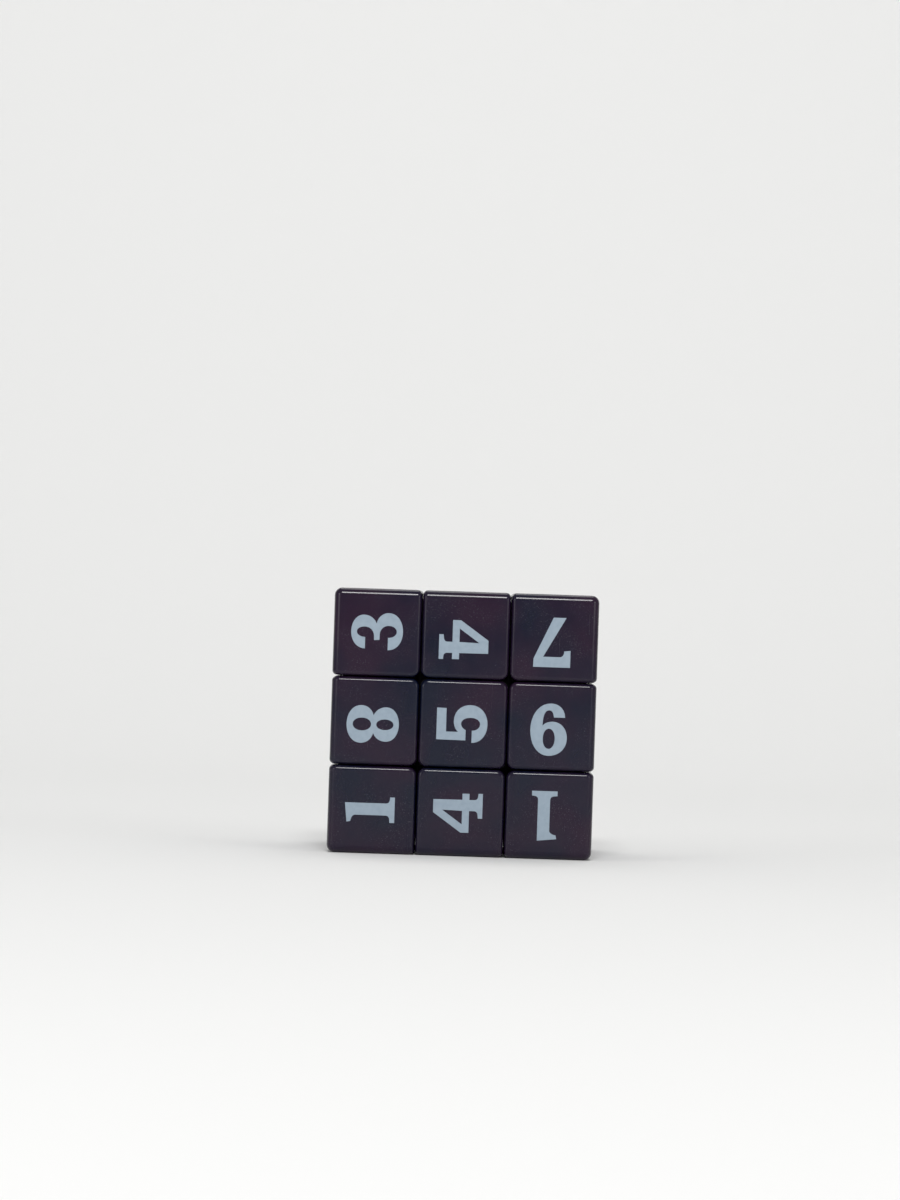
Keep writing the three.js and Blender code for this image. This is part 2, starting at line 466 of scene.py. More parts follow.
@dataclass(frozen=True)
class Paper:
    """The plain pale studio paper of the floor and backdrop."""

    name: str
    colour: Colour
    roughness: float = 0.9
    gloss_level: float = 0.1

    def make(self) -> bpy.types.Material:
        """Builds the material.

        Returns:
            The finished material.
        """
        desk = MaterialDesk(self.name)
        desk.surface(Base_Color=self.colour, Roughness=self.roughness, Specular_IOR_Level=self.gloss_level)
        return desk.material


class ShapeDesk(NodeDesk):
    """Adds nodes to a new geometry tree that has named inputs and one output."""

    def __init__(self, name: str, inputs: dict[str, str], output: str) -> None:
        """Starts a geometry tree.

        Args:
            name: The tree's name.
            inputs: The kind of each input, such as Float, by the input's name.
            output: The output's name.
        """
        super().__init__(bpy.data.node_groups.new(name, "GeometryNodeTree"))
        for label, kind in inputs.items():
            self.tree.interface.new_socket(label, in_out="INPUT", socket_type=f"NodeSocket{kind}")
        self.tree.interface.new_socket(output, in_out="OUTPUT", socket_type="NodeSocketGeometry")
        self.given = self.add("NodeGroupInput").outputs

    def moved(self, shape: Socket, way: object) -> Socket:
        """Moves a shape along a vector, or along what a socket gives."""
        return self.add("GeometryNodeTransform", {"Geometry": shape, "Translation": way}).outputs["Geometry"]

    def lifted(self, shape: Socket, height: float) -> Socket:
        """Moves a shape along Z."""
        return self.moved(shape, (0.0, 0.0, height))

    def box(self, size: object, middle: object) -> Socket:
        """Makes a box about a point, each from a vector or a socket."""
        return self.moved(self.add("GeometryNodeMeshCube", {"Size": size}).outputs["Mesh"], middle)

    def disc(self, radius: Socket, height: float, sides: int) -> bpy.types.Node:
        """Makes a round disc that stands on the origin.

        Args:
            radius: The socket with its radius.
            height: Its height.
            sides: How many flats make its round.

        Returns:
            The node that makes it.
        """
        return self.add(
            "GeometryNodeMeshCone",
            {"Vertices": sides, "Radius Bottom": radius, "Radius Top": radius, "Depth": height},
        )

    def coil(self, line: dict[str, object], wire: Socket, sides: int) -> Socket:
        """Sweeps a round wire along a helix.

        Args:
            line: The helix's sizes, by the names of the node's inputs.
            wire: The socket with the wire's radius.
            sides: How many flats make the wire's round.

        Returns:
            The socket with the coil.
        """
        helix = self.add("GeometryNodeCurveSpiral", line).outputs["Curve"]
        ring = self.add("GeometryNodeCurvePrimitiveCircle", {"Resolution": sides, "Radius": wire})
        swept = self.add(
            "GeometryNodeCurveToMesh",
            {"Curve": helix, "Profile Curve": ring.outputs["Curve"], "Fill Caps": True},
        )
        return swept.outputs["Mesh"]

    def cut(self, block: Socket, tools: list[Socket]) -> Socket:
        """Cuts shapes out of a block.

        Args:
            block: The socket with the block.
            tools: The sockets with the shapes to cut out.

        Returns:
            The socket with what is left.
        """
        node = self.add(
            "GeometryNodeMeshBoolean",
            {"Mesh 1": block, "Mesh 2": tools},
            operation="DIFFERENCE",
            solver="EXACT",
        )
        return node.outputs["Mesh"]

    def hand_out(self, shape: Socket, finish: bpy.types.Material) -> bpy.types.NodeTree:
        """Ends the tree: makes its shape real, dresses it and hands it out.

        Args:
            shape: The socket with the shape.
            finish: The material.

        Returns:
            The finished tree.
        """
        real = self.add("GeometryNodeRealizeInstances", {"Geometry": shape}).outputs["Geometry"]
        dressed = self.add("GeometryNodeSetMaterial", {"Geometry": real, "Material": finish})
        self.add("NodeGroupOutput", {0: dressed.outputs["Geometry"]})
        return self.tree


def new_object(name: str, data: bpy.types.ID) -> bpy.types.Object:
    """Puts a mesh or a curve into the scene at the origin.

    Args:
        name: The object's name.
        data: The mesh or curve, with its place in its points.

    Returns:
        The new object.
    """
    piece = bpy.data.objects.new(name, data)
    bpy.context.scene.collection.objects.link(piece)
    return piece


def settled_mesh(piece: bpy.types.Object, name: str) -> bpy.types.Mesh:
    """Turns an object with its modifiers into a plain mesh and removes the object.

    Args:
        piece: The object to settle.
        name: The name of the new mesh.

    Returns:
        The plain mesh.
    """
    bpy.context.view_layer.update()
    graph = bpy.context.evaluated_depsgraph_get()
    mesh = bpy.data.meshes.new_from_object(
        piece.evaluated_get(graph), preserve_all_data_layers=True, depsgraph=graph
    )
    mesh.name = name
    bpy.data.objects.remove(piece)
    return mesh


def add_tree(piece: bpy.types.Object, tree: bpy.types.NodeTree, sizes: dict[str, object]) -> None:
    """Gives an object a geometry tree and sets the tree's named inputs.

    Args:
        piece: The object that the tree works on.
        tree: The geometry tree.
        sizes: Values by the input's name.
    """
    modifier = piece.modifiers.new(tree.name, "NODES")
    modifier.node_group = tree
    for item in tree.interface.items_tree:
        if item.in_out == "INPUT" and item.name in sizes:
            modifier[item.identifier] = sizes[item.name]


def shade(mesh: bpy.types.Mesh) -> None:
    """Shades a mesh smoothly, but for its sharp edges."""
    mesh.shade_smooth()
    mesh.set_sharp_from_angle(angle=SMOOTH_BELOW)


@dataclass
class CubieShells:
    """The 26 visible shells: rounded black blocks, hollow inside and open to the spherical track."""

    cube_edge: float = 53 * MM
    gap: float = 0.3 * MM
    wall: float = 1.5 * MM
    track_depth: float = 4.1 * MM
    cap_depth: float = 3.2 * MM
    cap_top: float = 1.6 * MM
    cap_wall: float = 1.4 * MM
    tile_corner_round: float = 1.6 * MM
    cube_edge_round: float = 1.5 * MM
    tile_edge_round: float = 0.85 * MM
    round_steps: int = 6
    tile_edge_steps: int = 5
    sharp_above: float = math.radians(60)
    ball_steps: int = 96

    def half(self) -> float:
        """Gives the distance from the middle of the cube to a face."""
        return self.cube_edge / 2

    def inner(self) -> float:
        """Gives the distance from the middle of the cube to the side of a middle layer."""
        return (self.cube_edge - 2 * self.gap) / 6

    def pitch(self) -> float:
        """Gives the distance between the middles of two neighbouring tiles."""
        return 2 * self.inner() + self.gap

    def corners_of(self, kind: Kind) -> tuple[Vector, Vector]:
        """Gives the lowest and highest corner of a pattern cubie's block.

        Args:
            kind: The kind of cubie.

        Returns:
            The two corners.
        """
        inner = self.inner()
        outer = inner + self.gap
        shown = [axis + kind.value >= 3 for axis in range(3)]
        low = Vector([outer if out else -inner for out in shown])
        high = Vector([self.half() if out else inner for out in shown])
        return low, high

    def rounded_block(self, kind: Kind) -> bpy.types.Mesh:
        """Builds a pattern cubie's solid block with its three sizes of rounded edge.

        Args:
            kind: The kind of cubie.

        Returns:
            A closed mesh.
        """
        low, high = self.corners_of(kind)
        shape = bmesh.new()
        bmesh.ops.create_cube(shape, size=1.0)
        shape.transform(Matrix.Translation((low + high) / 2) @ Matrix.Diagonal((*(high - low), 1.0)))

        def shows(side: bmesh.types.BMFace) -> bool:
            """Says whether a side of the block is a face of the cube."""
            axis = max(range(3), key=lambda way: abs(side.normal[way]))
            return side.normal[axis] > 0 and abs(high[axis] - self.half()) < SAME_PLACE

        shape.normal_update()
        hidden = [edge for edge in shape.edges if not any(shows(side) for side in edge.link_faces)]
        shown = [edge for edge in shape.edges if all(shows(side) for side in edge.link_faces)]
        self.round_edges(shape, hidden, self.tile_corner_round, self.round_steps)
        shown = [edge for edge in shown if edge.is_valid]
        self.round_edges(shape, shown, self.cube_edge_round, self.round_steps)
        sharp = [edge for edge in shape.edges if edge.calc_face_angle(0.0) > self.sharp_above]
        self.round_edges(shape, sharp, self.tile_edge_round, self.tile_edge_steps)
        bmesh.ops.recalc_face_normals(shape, faces=shape.faces[:])
        mesh = bpy.data.meshes.new(f"{kind.name.lower()}_block")
        shape.to_mesh(mesh)
        shape.free()
        return mesh

    @staticmethod
    def round_edges(
        shape: bmesh.types.BMesh, edges: list[bmesh.types.BMEdge], radius: float, steps: int
    ) -> None:
        """Rounds some edges of a block.

        Args:
            shape: The block.
            edges: The edges to round.
            radius: The round's radius.
            steps: How many flats make the round.
        """
        if edges:
            bmesh.ops.bevel(
                shape,
                geom=edges,
                offset=radius,
                offset_type="OFFSET",
                segments=steps,
                profile=ROUND_PROFILE,
                affect="EDGES",
                clamp_overlap=True,
            )
            shape.normal_update()

    def hollow_tree(self, finish: bpy.types.Material) -> bpy.types.NodeTree:
        """Builds the geometry tree that cuts the track, the hollow and the seat out of a block.

        Args:
            finish: The material of the shell.

        Returns:
            A tree with named inputs for the track, the hollow and the seat.
        """
        inputs = {
            "Block": "Geometry",
            "Track Radius": "Float",
            "Hollow Middle": "Vector",
            "Hollow Size": "Vector",
            "Below Seat Middle": "Vector",
            "Below Seat Size": "Vector",
        }
        desk = ShapeDesk("hollow cubie", inputs, "Shell")
        given = desk.given
        ball = desk.add(
            "GeometryNodeMeshUVSphere",
            {"Segments": self.ball_steps, "Rings": self.ball_steps // 2, "Radius": given["Track Radius"]},
        )
        hollow = desk.box(given["Hollow Size"], given["Hollow Middle"])
        below_seat = desk.box(given["Below Seat Size"], given["Below Seat Middle"])
        shell = desk.cut(given["Block"], [ball.outputs["Mesh"], hollow, below_seat])
        return desk.hand_out(shell, finish)

    def pattern(self, kind: Kind, tree: bpy.types.NodeTree) -> bpy.types.Mesh:
        """Builds one hollow pattern shell with even shading on its flats.

        Args:
            kind: The kind of cubie.
            tree: The tree that hollows a block.

        Returns:
            The shell as a plain mesh.
        """
        low, high = self.corners_of(kind)
        if kind is Kind.CENTRE:
            side = Vector((self.cap_wall, self.cap_wall, 0))
            low_hollow = low + side
            high_hollow = high - side - Vector((0, 0, self.cap_top))
            below = Vector((self.cube_edge, self.cube_edge, self.half() - self.cap_depth))
            below_middle = Vector((0, 0, below.z / 2))
        else:
            wall = Vector((1, 1, 1)) * self.wall
            low_hollow = low + wall
            high_hollow = high - wall
            # Only the centres' caps have a seat, so here the cut below it is small and clear of the block
            below = Vector((1, 1, 1)) * MM
            below_middle = Vector((0, 0, -self.cube_edge))
        piece = new_object("shell_pattern", self.rounded_block(kind))
        sizes = {
            "Track Radius": self.half() - self.track_depth,
            "Hollow Middle": (low_hollow + high_hollow) / 2,
            "Hollow Size": high_hollow - low_hollow,
            "Below Seat Middle": below_middle,
            "Below Seat Size": below,
        }
        add_tree(piece, tree, sizes)
        piece = new_object("shell_pattern", settled_mesh(piece, "shell_cut"))
        shade(piece.data)
        even = piece.modifiers.new("even flats", "WEIGHTED_NORMAL")
        even.mode = "FACE_AREA"
        even.keep_sharp = True
        return settled_mesh(piece, f"{kind.name.lower()}_shell_pattern")

    def build(self, finish: bpy.types.Material) -> None:
        """Builds every shell in its place.

        Args:
            finish: The black plastic.
        """
        tree = self.hollow_tree(finish)
        patterns = {kind: self.pattern(kind, tree) for kind in Kind}
        for cell in all_cells():
            mesh = patterns[cell.kind()].copy()
            mesh.transform(cell.turn_from_pattern())
            piece = new_object(f"shell_{cell.place_name()}", mesh)
            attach(piece, cell.body())
            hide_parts(cell.shell_node())
            log.info("shell %s: %d faces", cell.place_name(), len(mesh.polygons))


class Pen:
    """Draws closed outlines in millimetres, in straight strokes and quarter bows."""

    def __init__(self, fullness: float = 0.58, steps: int = 9) -> None:
        """Starts with an empty sheet.

        Args:
            fullness: How square a quarter bow is; 0.55 is a true ellipse.
            steps: How many short strokes make one bow.
        """
        self.fullness = fullness
        self.steps = steps
        self.outlines: list[list[Vector]] = []

    def start(self, x: float, y: float) -> "Pen":
        """Starts a new closed outline at a point."""
        self.outlines.append([Vector((x, y))])
        return self

    def line(self, *points: Point) -> "Pen":
        """Draws straight strokes from point to point."""
        self.outlines[-1].extend(Vector(point) for point in points)
        return self

    def curve(self, first: Point, second: Point, end: Point) -> "Pen":
        """Draws a free curve.

        Args:
            first: The handle next to the pen.
            second: The handle next to the end.
            end: Where the curve ends.

        Returns:
            The pen.
        """
        outline = self.outlines[-1]
        begin = outline[-1].copy()
        leave = Vector(first)
        arrive = Vector(second)
        stop = Vector(end)
        for step in range(1, self.steps + 1):
            done = step / self.steps
            rest = 1 - done
            point = begin * rest**3 + leave * (3 * rest * rest * done)
            point = point + arrive * (3 * rest * done * done) + stop * done**3
            outline.append(point)
        return self

    def rise(self, x: float, y: float) -> "Pen":
        """Draws a quarter bow that leaves upright and arrives level.

        Args:
            x: How far across it ends.
            y: How far up it ends.

        Returns:
            The pen.
        """
        at = self.outlines[-1][-1]
        first = (at.x, at.y + self.fullness * (y - at.y))
        second = (x - self.fullness * (x - at.x), y)
        return self.curve(first, second, (x, y))

    def fall(self, x: float, y: float) -> "Pen":
        """Draws a quarter bow that leaves level and arrives upright.

        Args:
            x: How far across it ends.
            y: How far up it ends.

        Returns:
            The pen.
        """
        at = self.outlines[-1][-1]
        first = (at.x + self.fullness * (x - at.x), at.y)
        second = (x, y - self.fullness * (y - at.y))
        return self.curve(first, second, (x, y))

    def oval(self, x: float, y: float, half_width: float, half_height: float) -> "Pen":
        """Draws a closed oval about a point."""
        self.start(x + half_width, y).rise(x, y + half_height).fall(x - half_width, y)
        return self.rise(x, y - half_height).fall(x + half_width, y)

    def turn_over(self) -> None:
        """Turns everything drawn so far by half a turn."""
        self.outlines = [[-point for point in outline] for outline in self.outlines]


class DigitPen(Pen):
    """Draws the nine bold digits about the origin, each about ten millimetres tall."""

    def one(self) -> None:
        """Draws a one with a slanted flag and a bracketed foot."""
        self.start(-2.5, -4.9).line((2.6, -4.9), (2.6, -3.95), (2.0, -3.88))
        self.curve((1.6, -3.82), (1.36, -3.55), (1.36, -3.1)).line((1.36, 5.05), (-2.5, 4.65), (-2.35, 3.9))
        self.curve((-1.6, 3.75), (-1.06, 3.5), (-1.06, 2.95)).line((-1.06, -3.1))
        self.curve((-1.06, -3.55), (-1.35, -3.82), (-1.75, -3.88)).line((-2.5, -3.95))

    def two(self) -> None:
        """Draws a two with a flat-cut top end and a raised base end."""
        self.start(-3.45, 2.25).rise(0.0, 5.2).fall(3.45, 2.55)
        self.curve((3.45, 0.7), (1.9, -0.5), (-0.55, -2.85)).line((1.5, -2.85))
        self.curve((2.2, -2.8), (2.45, -2.4), (2.5, -1.65)).line((3.75, -1.5), (3.65, -5.0), (-3.65, -5.0))
        self.line((-3.65, -3.75)).curve((-1.9, -1.7), (0.98, 0.2), (0.98, 2.55))
        self.rise(0.0, 4.05).fall(-1.1, 2.25)

    def three(self) -> None:
        """Draws a three with flat-cut ends and a square middle spur."""
        self.start(-3.4, 2.36).rise(0.0, 5.2).fall(3.35, 2.7)
        self.curve((3.35, 1.5), (2.65, 0.55), (1.65, 0.15)).curve((2.95, -0.1), (3.8, -1.05), (3.8, -2.3))
        self.rise(0.0, -5.17).fall(-3.63, -2.2).line((-1.15, -2.2)).rise(0.05, -3.92).fall(1.24, -2.3)
        self.rise(-0.6, -0.52).line((-1.6, -0.5), (-1.67, 0.57), (-0.9, 0.6)).fall(0.98, 2.5)
        self.rise(0.0, 4.05).fall(-1.1, 2.36)

    def four(self) -> None:
        """Draws a four with a bracketed foot."""
        self.start(0.08, 5.0).line((2.68, 5.0), (2.72, -0.8), (3.95, -0.8), (3.95, -2.2), (2.72, -2.2))
        self.line((2.72, -3.2)).curve((2.72, -3.6), (2.95, -3.85), (3.3, -3.92))
        self.line((4.0, -4.0), (4.0, -4.87), (-0.95, -4.87), (-0.95, -4.0), (-0.2, -3.92))
        self.curve((0.25, -3.85), (0.5, -3.6), (0.5, -3.2)).line((0.5, -2.2), (-3.86, -2.2), (-3.86, -0.6))
        self.start(0.62, 3.2).line((-2.2, -0.8), (0.5, -0.8))

    def five(self) -> None:
        """Draws a five with a straight flag and a flat-cut lower end."""
        self.start(-3.22, 5.02).line((3.14, 5.02), (3.1, 3.13), (-1.6, 3.1), (-1.6, 0.7))
        self.curve((-1.1, 1.3), (-0.3, 1.6), (0.6, 1.6)).fall(3.82, -1.7).rise(0.0, -5.15).fall(-3.72, -2.05)
        self.line((-1.28, -2.05)).rise(0.05, -3.67).fall(1.28, -1.77).rise(0.05, 0.13)
        self.curve((-0.5, 0.13), (-0.95, -0.3), (-1.2, -0.82)).line((-3.27, -0.82))

    def six(self) -> None:
        """Draws a six with a flat-cut top end."""
        self.start(3.27, 2.45).rise(0.45, 5.23).fall(-3.6, -0.1).rise(0.1, -5.25)
        self.fall(3.76, -1.7).rise(0.85, 1.6).curve((0.0, 1.6), (-0.75, 1.3), (-1.18, 0.76))
        self.curve((-1.16, 2.6), (-0.85, 3.85), (0.1, 3.85)).curve((0.75, 3.85), (0.95, 3.2), (1.05, 2.45))
        self.oval(0.14, -1.83, 1.2, 2.02)

    def seven(self) -> None:
        """Draws a seven with a short serif at the left end of its bar."""
        self.start(-3.75, 4.95).line((3.65, 4.95), (3.6, 3.25), (-0.2, -5.0), (-2.75, -5.0), (1.7, 2.88))
        self.line((-1.7, 2.88)).curve((-2.25, 2.82), (-2.45, 2.4), (-2.5, 1.7)).line((-3.75, 1.55))

    def eight(self) -> None:
        """Draws an eight, smaller above than below."""
        self.start(1.8, 0.1).curve((2.9, 0.55), (3.46, 1.5), (3.46, 2.65)).rise(0.05, 5.2)
        self.fall(-3.42, 2.65).curve((-3.42, 1.5), (-2.8, 0.55), (-1.75, 0.1))
        self.curve((-3.0, -0.25), (-3.72, -1.2), (-3.72, -2.4)).rise(0.05, -5.27)
        self.fall(3.82, -2.4).curve((3.82, -1.2), (3.1, -0.25), (1.8, 0.1))
        self.oval(0.08, 2.4, 1.06, 1.72)
        self.oval(0.06, -2.2, 1.28, 1.84)

    def nine(self) -> None:
        """Draws a nine, which is the six upside down."""
        self.six()
        self.turn_over()

    def draw(self, digit: int) -> None:
        """Draws one of the digits.

        Args:
            digit: The digit, from 1 to 9.
        """
        drawings = [self.one, self.two, self.three, self.four, self.five]
        drawings += [self.six, self.seven, self.eight, self.nine]
        drawings[digit - 1]()


@dataclass
class PrintedDigits:
    """The digits printed on the 54 tiles."""

    shells: CubieShells
    ink_height: float = 0.02 * MM
    ink_depth: float = 0.03 * MM
    # Three rows of three tiles on each face, each a digit and where its top points: Up, Left, Down or Right
    layout: dict[Face, str] = field(
        default_factory=lambda: {
            Face.FRONT: "3L 4R 7D  8R 5L 6U  1L 4L 1D",
            Face.TOP: "9U 2R 6L  1D 8U 3R  5L 7U 2D",
            Face.RIGHT: "2L 9D 8R  4U 6R 1L  7D 3U 5R",
            Face.LEFT: "6D 5U 9L  3R 2U 7D  8L 1R 9U",
            Face.BACK: "7R 4L 2U  9D 1U 5L  3U 8D 6R",
            Face.BOTTOM: "4U 9R 3L  6U 4D 8L  2R 5D 7U",
        }
    )
    # How far each print of the front face sits off its tile's centre, in millimetres across and up
    front_slips: tuple[Point, ...] = (
        (0.0, 0.1),
        (-0.45, -0.9),
        (-0.5, -0.9),
        (-0.25, -0.6),
        (-0.25, 0.0),
        (-0.68, -0.55),
        (-0.25, 0.0),
        (-0.42, -0.1),
        (-0.9, 0.0),
    )
    # The most that a print of the other faces sits off centre, in millimetres
    other_slip: float = 0.5
    slip_seed: int = 7

    def digit_mesh(self, digit: int) -> bpy.types.Mesh:
        """Builds one digit as a thin closed print about the origin, facing along Z.

        Args:
            digit: The digit, from 1 to 9.

        Returns:
            The print as a plain mesh.
        """
        pen = DigitPen()
        pen.draw(digit)
        flat = bpy.data.curves.new(f"digit_{digit}", "CURVE")
        flat.dimensions = "2D"
        flat.fill_mode = "BOTH"
        flat.extrude = (self.ink_height + self.ink_depth) / 2
        for outline in pen.outlines:
            stroke = flat.splines.new("POLY")
            stroke.points.add(len(outline) - 1)
            for point, corner in zip(outline, stroke.points):
                corner.co = (point.x * MM, point.y * MM, 0.0, 1.0)
            stroke.use_cyclic_u = True
        mesh = settled_mesh(new_object(flat.name, flat), f"digit_{digit}_print")
        shape = bmesh.new()
        shape.from_mesh(mesh)
        bmesh.ops.remove_doubles(shape, verts=shape.verts[:], dist=SAME_PLACE)
        bmesh.ops.recalc_face_normals(shape, faces=shape.faces[:])
        shape.to_mesh(mesh)
        shape.free()
        return mesh

    def tile_place(self, face: Face, row: int, column: int, turn: Turn, slip: Point) -> Matrix:
        """Gives where a print lies on its tile.

        Args:
            face: The face of the cube.
            row: The tile's row, from 0 at the top.
            column: The tile's column, from 0 at the left.
            turn: Which way the digit's top points.
            slip: How far the print sits off centre, in millimetres across and up.

        Returns:
            The placing matrix.
        """
        pitch = self.shells.pitch()
        lift = self.shells.half() + (self.ink_height - self.ink_depth) / 2
        middle = face.normal * lift
        middle = middle + face.across * ((column - 1) * pitch + slip[0] * MM)
        middle = middle + face.up * ((1 - row) * pitch + slip[1] * MM)
        axes = Matrix((face.across, face.up, face.normal)).transposed().to_4x4()
        return Matrix.Translation(middle) @ axes @ Matrix.Rotation(math.radians(turn.value), 4, "Z")

    def prints(self) -> dict[Cell, bmesh.types.BMesh]:
        """Prints every tile.

        Returns:
            The prints of each cubie, joined.
        """
        turns = {"U": Turn.UPRIGHT, "L": Turn.TO_LEFT, "D": Turn.UPSIDE_DOWN, "R": Turn.TO_RIGHT}
        digits = {digit: self.digit_mesh(digit) for digit in range(1, 10)}
        prints: dict[Cell, bmesh.types.BMesh] = {}
        chance = random.Random(self.slip_seed)
        for face, text in self.layout.items():
            for index, (digit, way) in enumerate(text.split()):
                row, column = divmod(index, 3)
                slip = tuple(chance.uniform(-self.other_slip, self.other_slip) for _ in range(2))
                if face is Face.FRONT:
                    slip = self.front_slips[index]
                step = face.normal + face.across * (column - 1) + face.up * (1 - row)
                cell = Cell(tuple(round(value) for value in step))
                if cell not in prints:
                    prints[cell] = bmesh.new()
                mesh = digits[int(digit)].copy()
                mesh.transform(self.tile_place(face, row, column, turns[way], slip))
                prints[cell].from_mesh(mesh)
                bpy.data.meshes.remove(mesh)
        return prints

    def build(self, finish: bpy.types.Material) -> None:
        """Builds the prints, one piece for each cubie.

        Args:
            finish: The ink.
        """
        for cell, shape in self.prints().items():
            mesh = bpy.data.meshes.new(f"print_{cell.place_name()}")
            shape.to_mesh(mesh)
            shape.free()
            mesh.materials.append(finish)
            piece = new_object(mesh.name, mesh)
            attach(piece, cell.body())
            log.info("print %s: %d faces", cell.place_name(), len(mesh.polygons))


@dataclass
class SprungScrews:
    """The six washer-head screws with their springs, on the ends of the core's arms."""

    arm_end: float = 9.7 * MM
    screw_radius: float = 1.45 * MM
    screw_tip: float = 3.5 * MM
    thread_pitch: float = 0.9 * MM
    thread_depth: float = 0.22 * MM
    thread_sides: int = 6
    spring_bottom: float = 11.9 * MM
    spring_height: float = 5.4 * MM
    spring_radius: float = 2.85 * MM
    spring_turns: float = 3.5
    wire_radius: float = 0.4 * MM
    wire_sides: int = 12
    coil_steps: int = 32
    flange_radius: float = 3.3 * MM
    flange_thickness: float = 0.7 * MM
    head_radius: float = 2.6 * MM
    head_height: float = 1.9 * MM
    head_chamfer: float = 0.6 * MM
    disc_sides: int = 48
    slot_width: float = 0.8 * MM
    slot_length: float = 3.2 * MM
    slot_depth: float = 1.1 * MM

    def sizes(self) -> dict[str, float]:
        """Gives the tree's named inputs and their values."""
        return {
            "Screw Radius": self.screw_radius,
            "Thread Depth": self.thread_depth,
            "Flange Radius": self.flange_radius,
            "Head Radius": self.head_radius,
            "Spring Turns": self.spring_turns,
            "Spring Radius": self.spring_radius,
            "Wire Radius": self.wire_radius,
        }

    def above_arm(self, height: float) -> float:
        """Counts a height from the end of the arm instead of the middle of the cube."""
        return height - self.arm_end

    def helix(self, turns: float | Socket, radius: Socket, height: float) -> dict[str, object]:
        """Gives the sizes of a helix by the names of its node's inputs."""
        ends = {"Start Radius": radius, "End Radius": radius, "Height": height}
        return {"Resolution": self.coil_steps, "Rotations": turns, **ends}

    def shaft(self, desk: ShapeDesk) -> list[Socket]:
        """Makes the shank and the flange on top of it.

        Args:
            desk: The tree's desk.

        Returns:
            The sockets with the two.
        """
        bottom = self.above_arm(self.screw_tip)
        top = self.above_arm(self.spring_bottom + self.spring_height)
        shank = desk.disc(desk.given["Screw Radius"], top - bottom, self.disc_sides)
        flange = desk.disc(desk.given["Flange Radius"], self.flange_thickness, self.disc_sides)
        return [desk.lifted(shank.outputs["Mesh"], bottom), desk.lifted(flange.outputs["Mesh"], top)]

    def head(self, desk: ShapeDesk) -> Socket:
        """Makes the chamfered head on the flange, with a cross slot in its top.

        Args:
            desk: The tree's desk.

        Returns:
            The socket with the head.
        """
        bottom = self.above_arm(self.spring_bottom + self.spring_height) + self.flange_thickness
        top = (0.0, 0.0, bottom + self.head_height)
        side = desk.disc(desk.given["Head Radius"], self.head_height - self.head_chamfer, self.disc_sides)
        cap = {"Mesh": side.outputs["Mesh"], "Selection": side.outputs["Top"]}
        raised = desk.add("GeometryNodeExtrudeMesh", {**cap, "Offset Scale": self.head_chamfer})
        cap = {"Geometry": raised.outputs["Mesh"], "Selection": raised.outputs["Top"]}
        narrowing = 1 - self.head_chamfer / self.head_radius
        chamfered = desk.add("GeometryNodeScaleElements", {**cap, "Scale": narrowing})
        # Half of each box stands out of the head's top, so it is twice as tall as the slot is deep
        tall = 2 * self.slot_depth
        along = desk.box((self.slot_length, self.slot_width, tall), top)
        across = desk.box((self.slot_width, self.slot_length, tall), top)
        return desk.cut(desk.lifted(chamfered.outputs["Geometry"], bottom), [along, across])

    def thread(self, desk: ShapeDesk) -> Socket:
        """Winds the thread round the part of the shank that is in the arm.

        Args:
            desk: The tree's desk.

        Returns:
            The socket with the thread.
        """
        bottom = self.above_arm(self.screw_tip)
        margin = 2 * self.thread_depth
        length = -bottom - 2 * margin
        line = self.helix(length / self.thread_pitch, desk.given["Screw Radius"], length)
        return desk.lifted(desk.coil(line, desk.given["Thread Depth"], self.thread_sides), bottom + margin)

    def spring(self, desk: ShapeDesk) -> Socket:
        """Winds the spring under the flange.

        Args:
            desk: The tree's desk.

        Returns:
            The socket with the spring.
        """
        given = desk.given
        climb = self.spring_height - self.wire_radius
        line = self.helix(given["Spring Turns"], given["Spring Radius"], climb)
        wound = desk.coil(line, given["Wire Radius"], self.wire_sides)
        return desk.lifted(wound, self.above_arm(self.spring_bottom + self.wire_radius))

    def tree(self, finish: bpy.types.Material) -> bpy.types.NodeTree:
        """Builds the geometry tree of one sprung screw, set on all six arms.

        Args:
            finish: The plated steel.

        Returns:
            A tree with named inputs for the screw's and the spring's sizes.
        """
        inputs = {"Arms": "Geometry", **dict.fromkeys(self.sizes(), "Float")}
        desk = ShapeDesk("sprung screws", inputs, "Screws")
        parts = [*self.shaft(desk), self.head(desk), self.thread(desk), self.spring(desk)]
        screw = desk.add("GeometryNodeJoinGeometry", {"Geometry": parts}).outputs["Geometry"]
        place = desk.add("GeometryNodeInputPosition").outputs["Position"]
        facing = desk.add("FunctionNodeAlignRotationToVector", {"Vector": place}, axis="Z")
        placed = desk.add(
            "GeometryNodeInstanceOnPoints",
            {"Points": desk.given["Arms"], "Instance": screw, "Rotation": facing.outputs["Rotation"]},
        )
        return desk.hand_out(placed.outputs["Instances"], finish)

    def build(self, finish: bpy.types.Material) -> None:
        """Builds the six screws as one piece on the core.

        Args:
            finish: The plated steel.
        """
        ends = bpy.data.meshes.new("arm_ends")
        ends.from_pydata([face.normal * self.arm_end for face in Face], [], [])
        piece = new_object("arm_ends", ends)
        add_tree(piece, self.tree(finish), self.sizes())
        mesh = settled_mesh(piece, "sprung_screws")
        shade(mesh)
        screws = new_object("sprung_screws", mesh)
        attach(screws, "core")
        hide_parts(*(f"screw_{face.label}" for face in Face))
        log.info("sprung screws: %d faces", len(mesh.polygons))


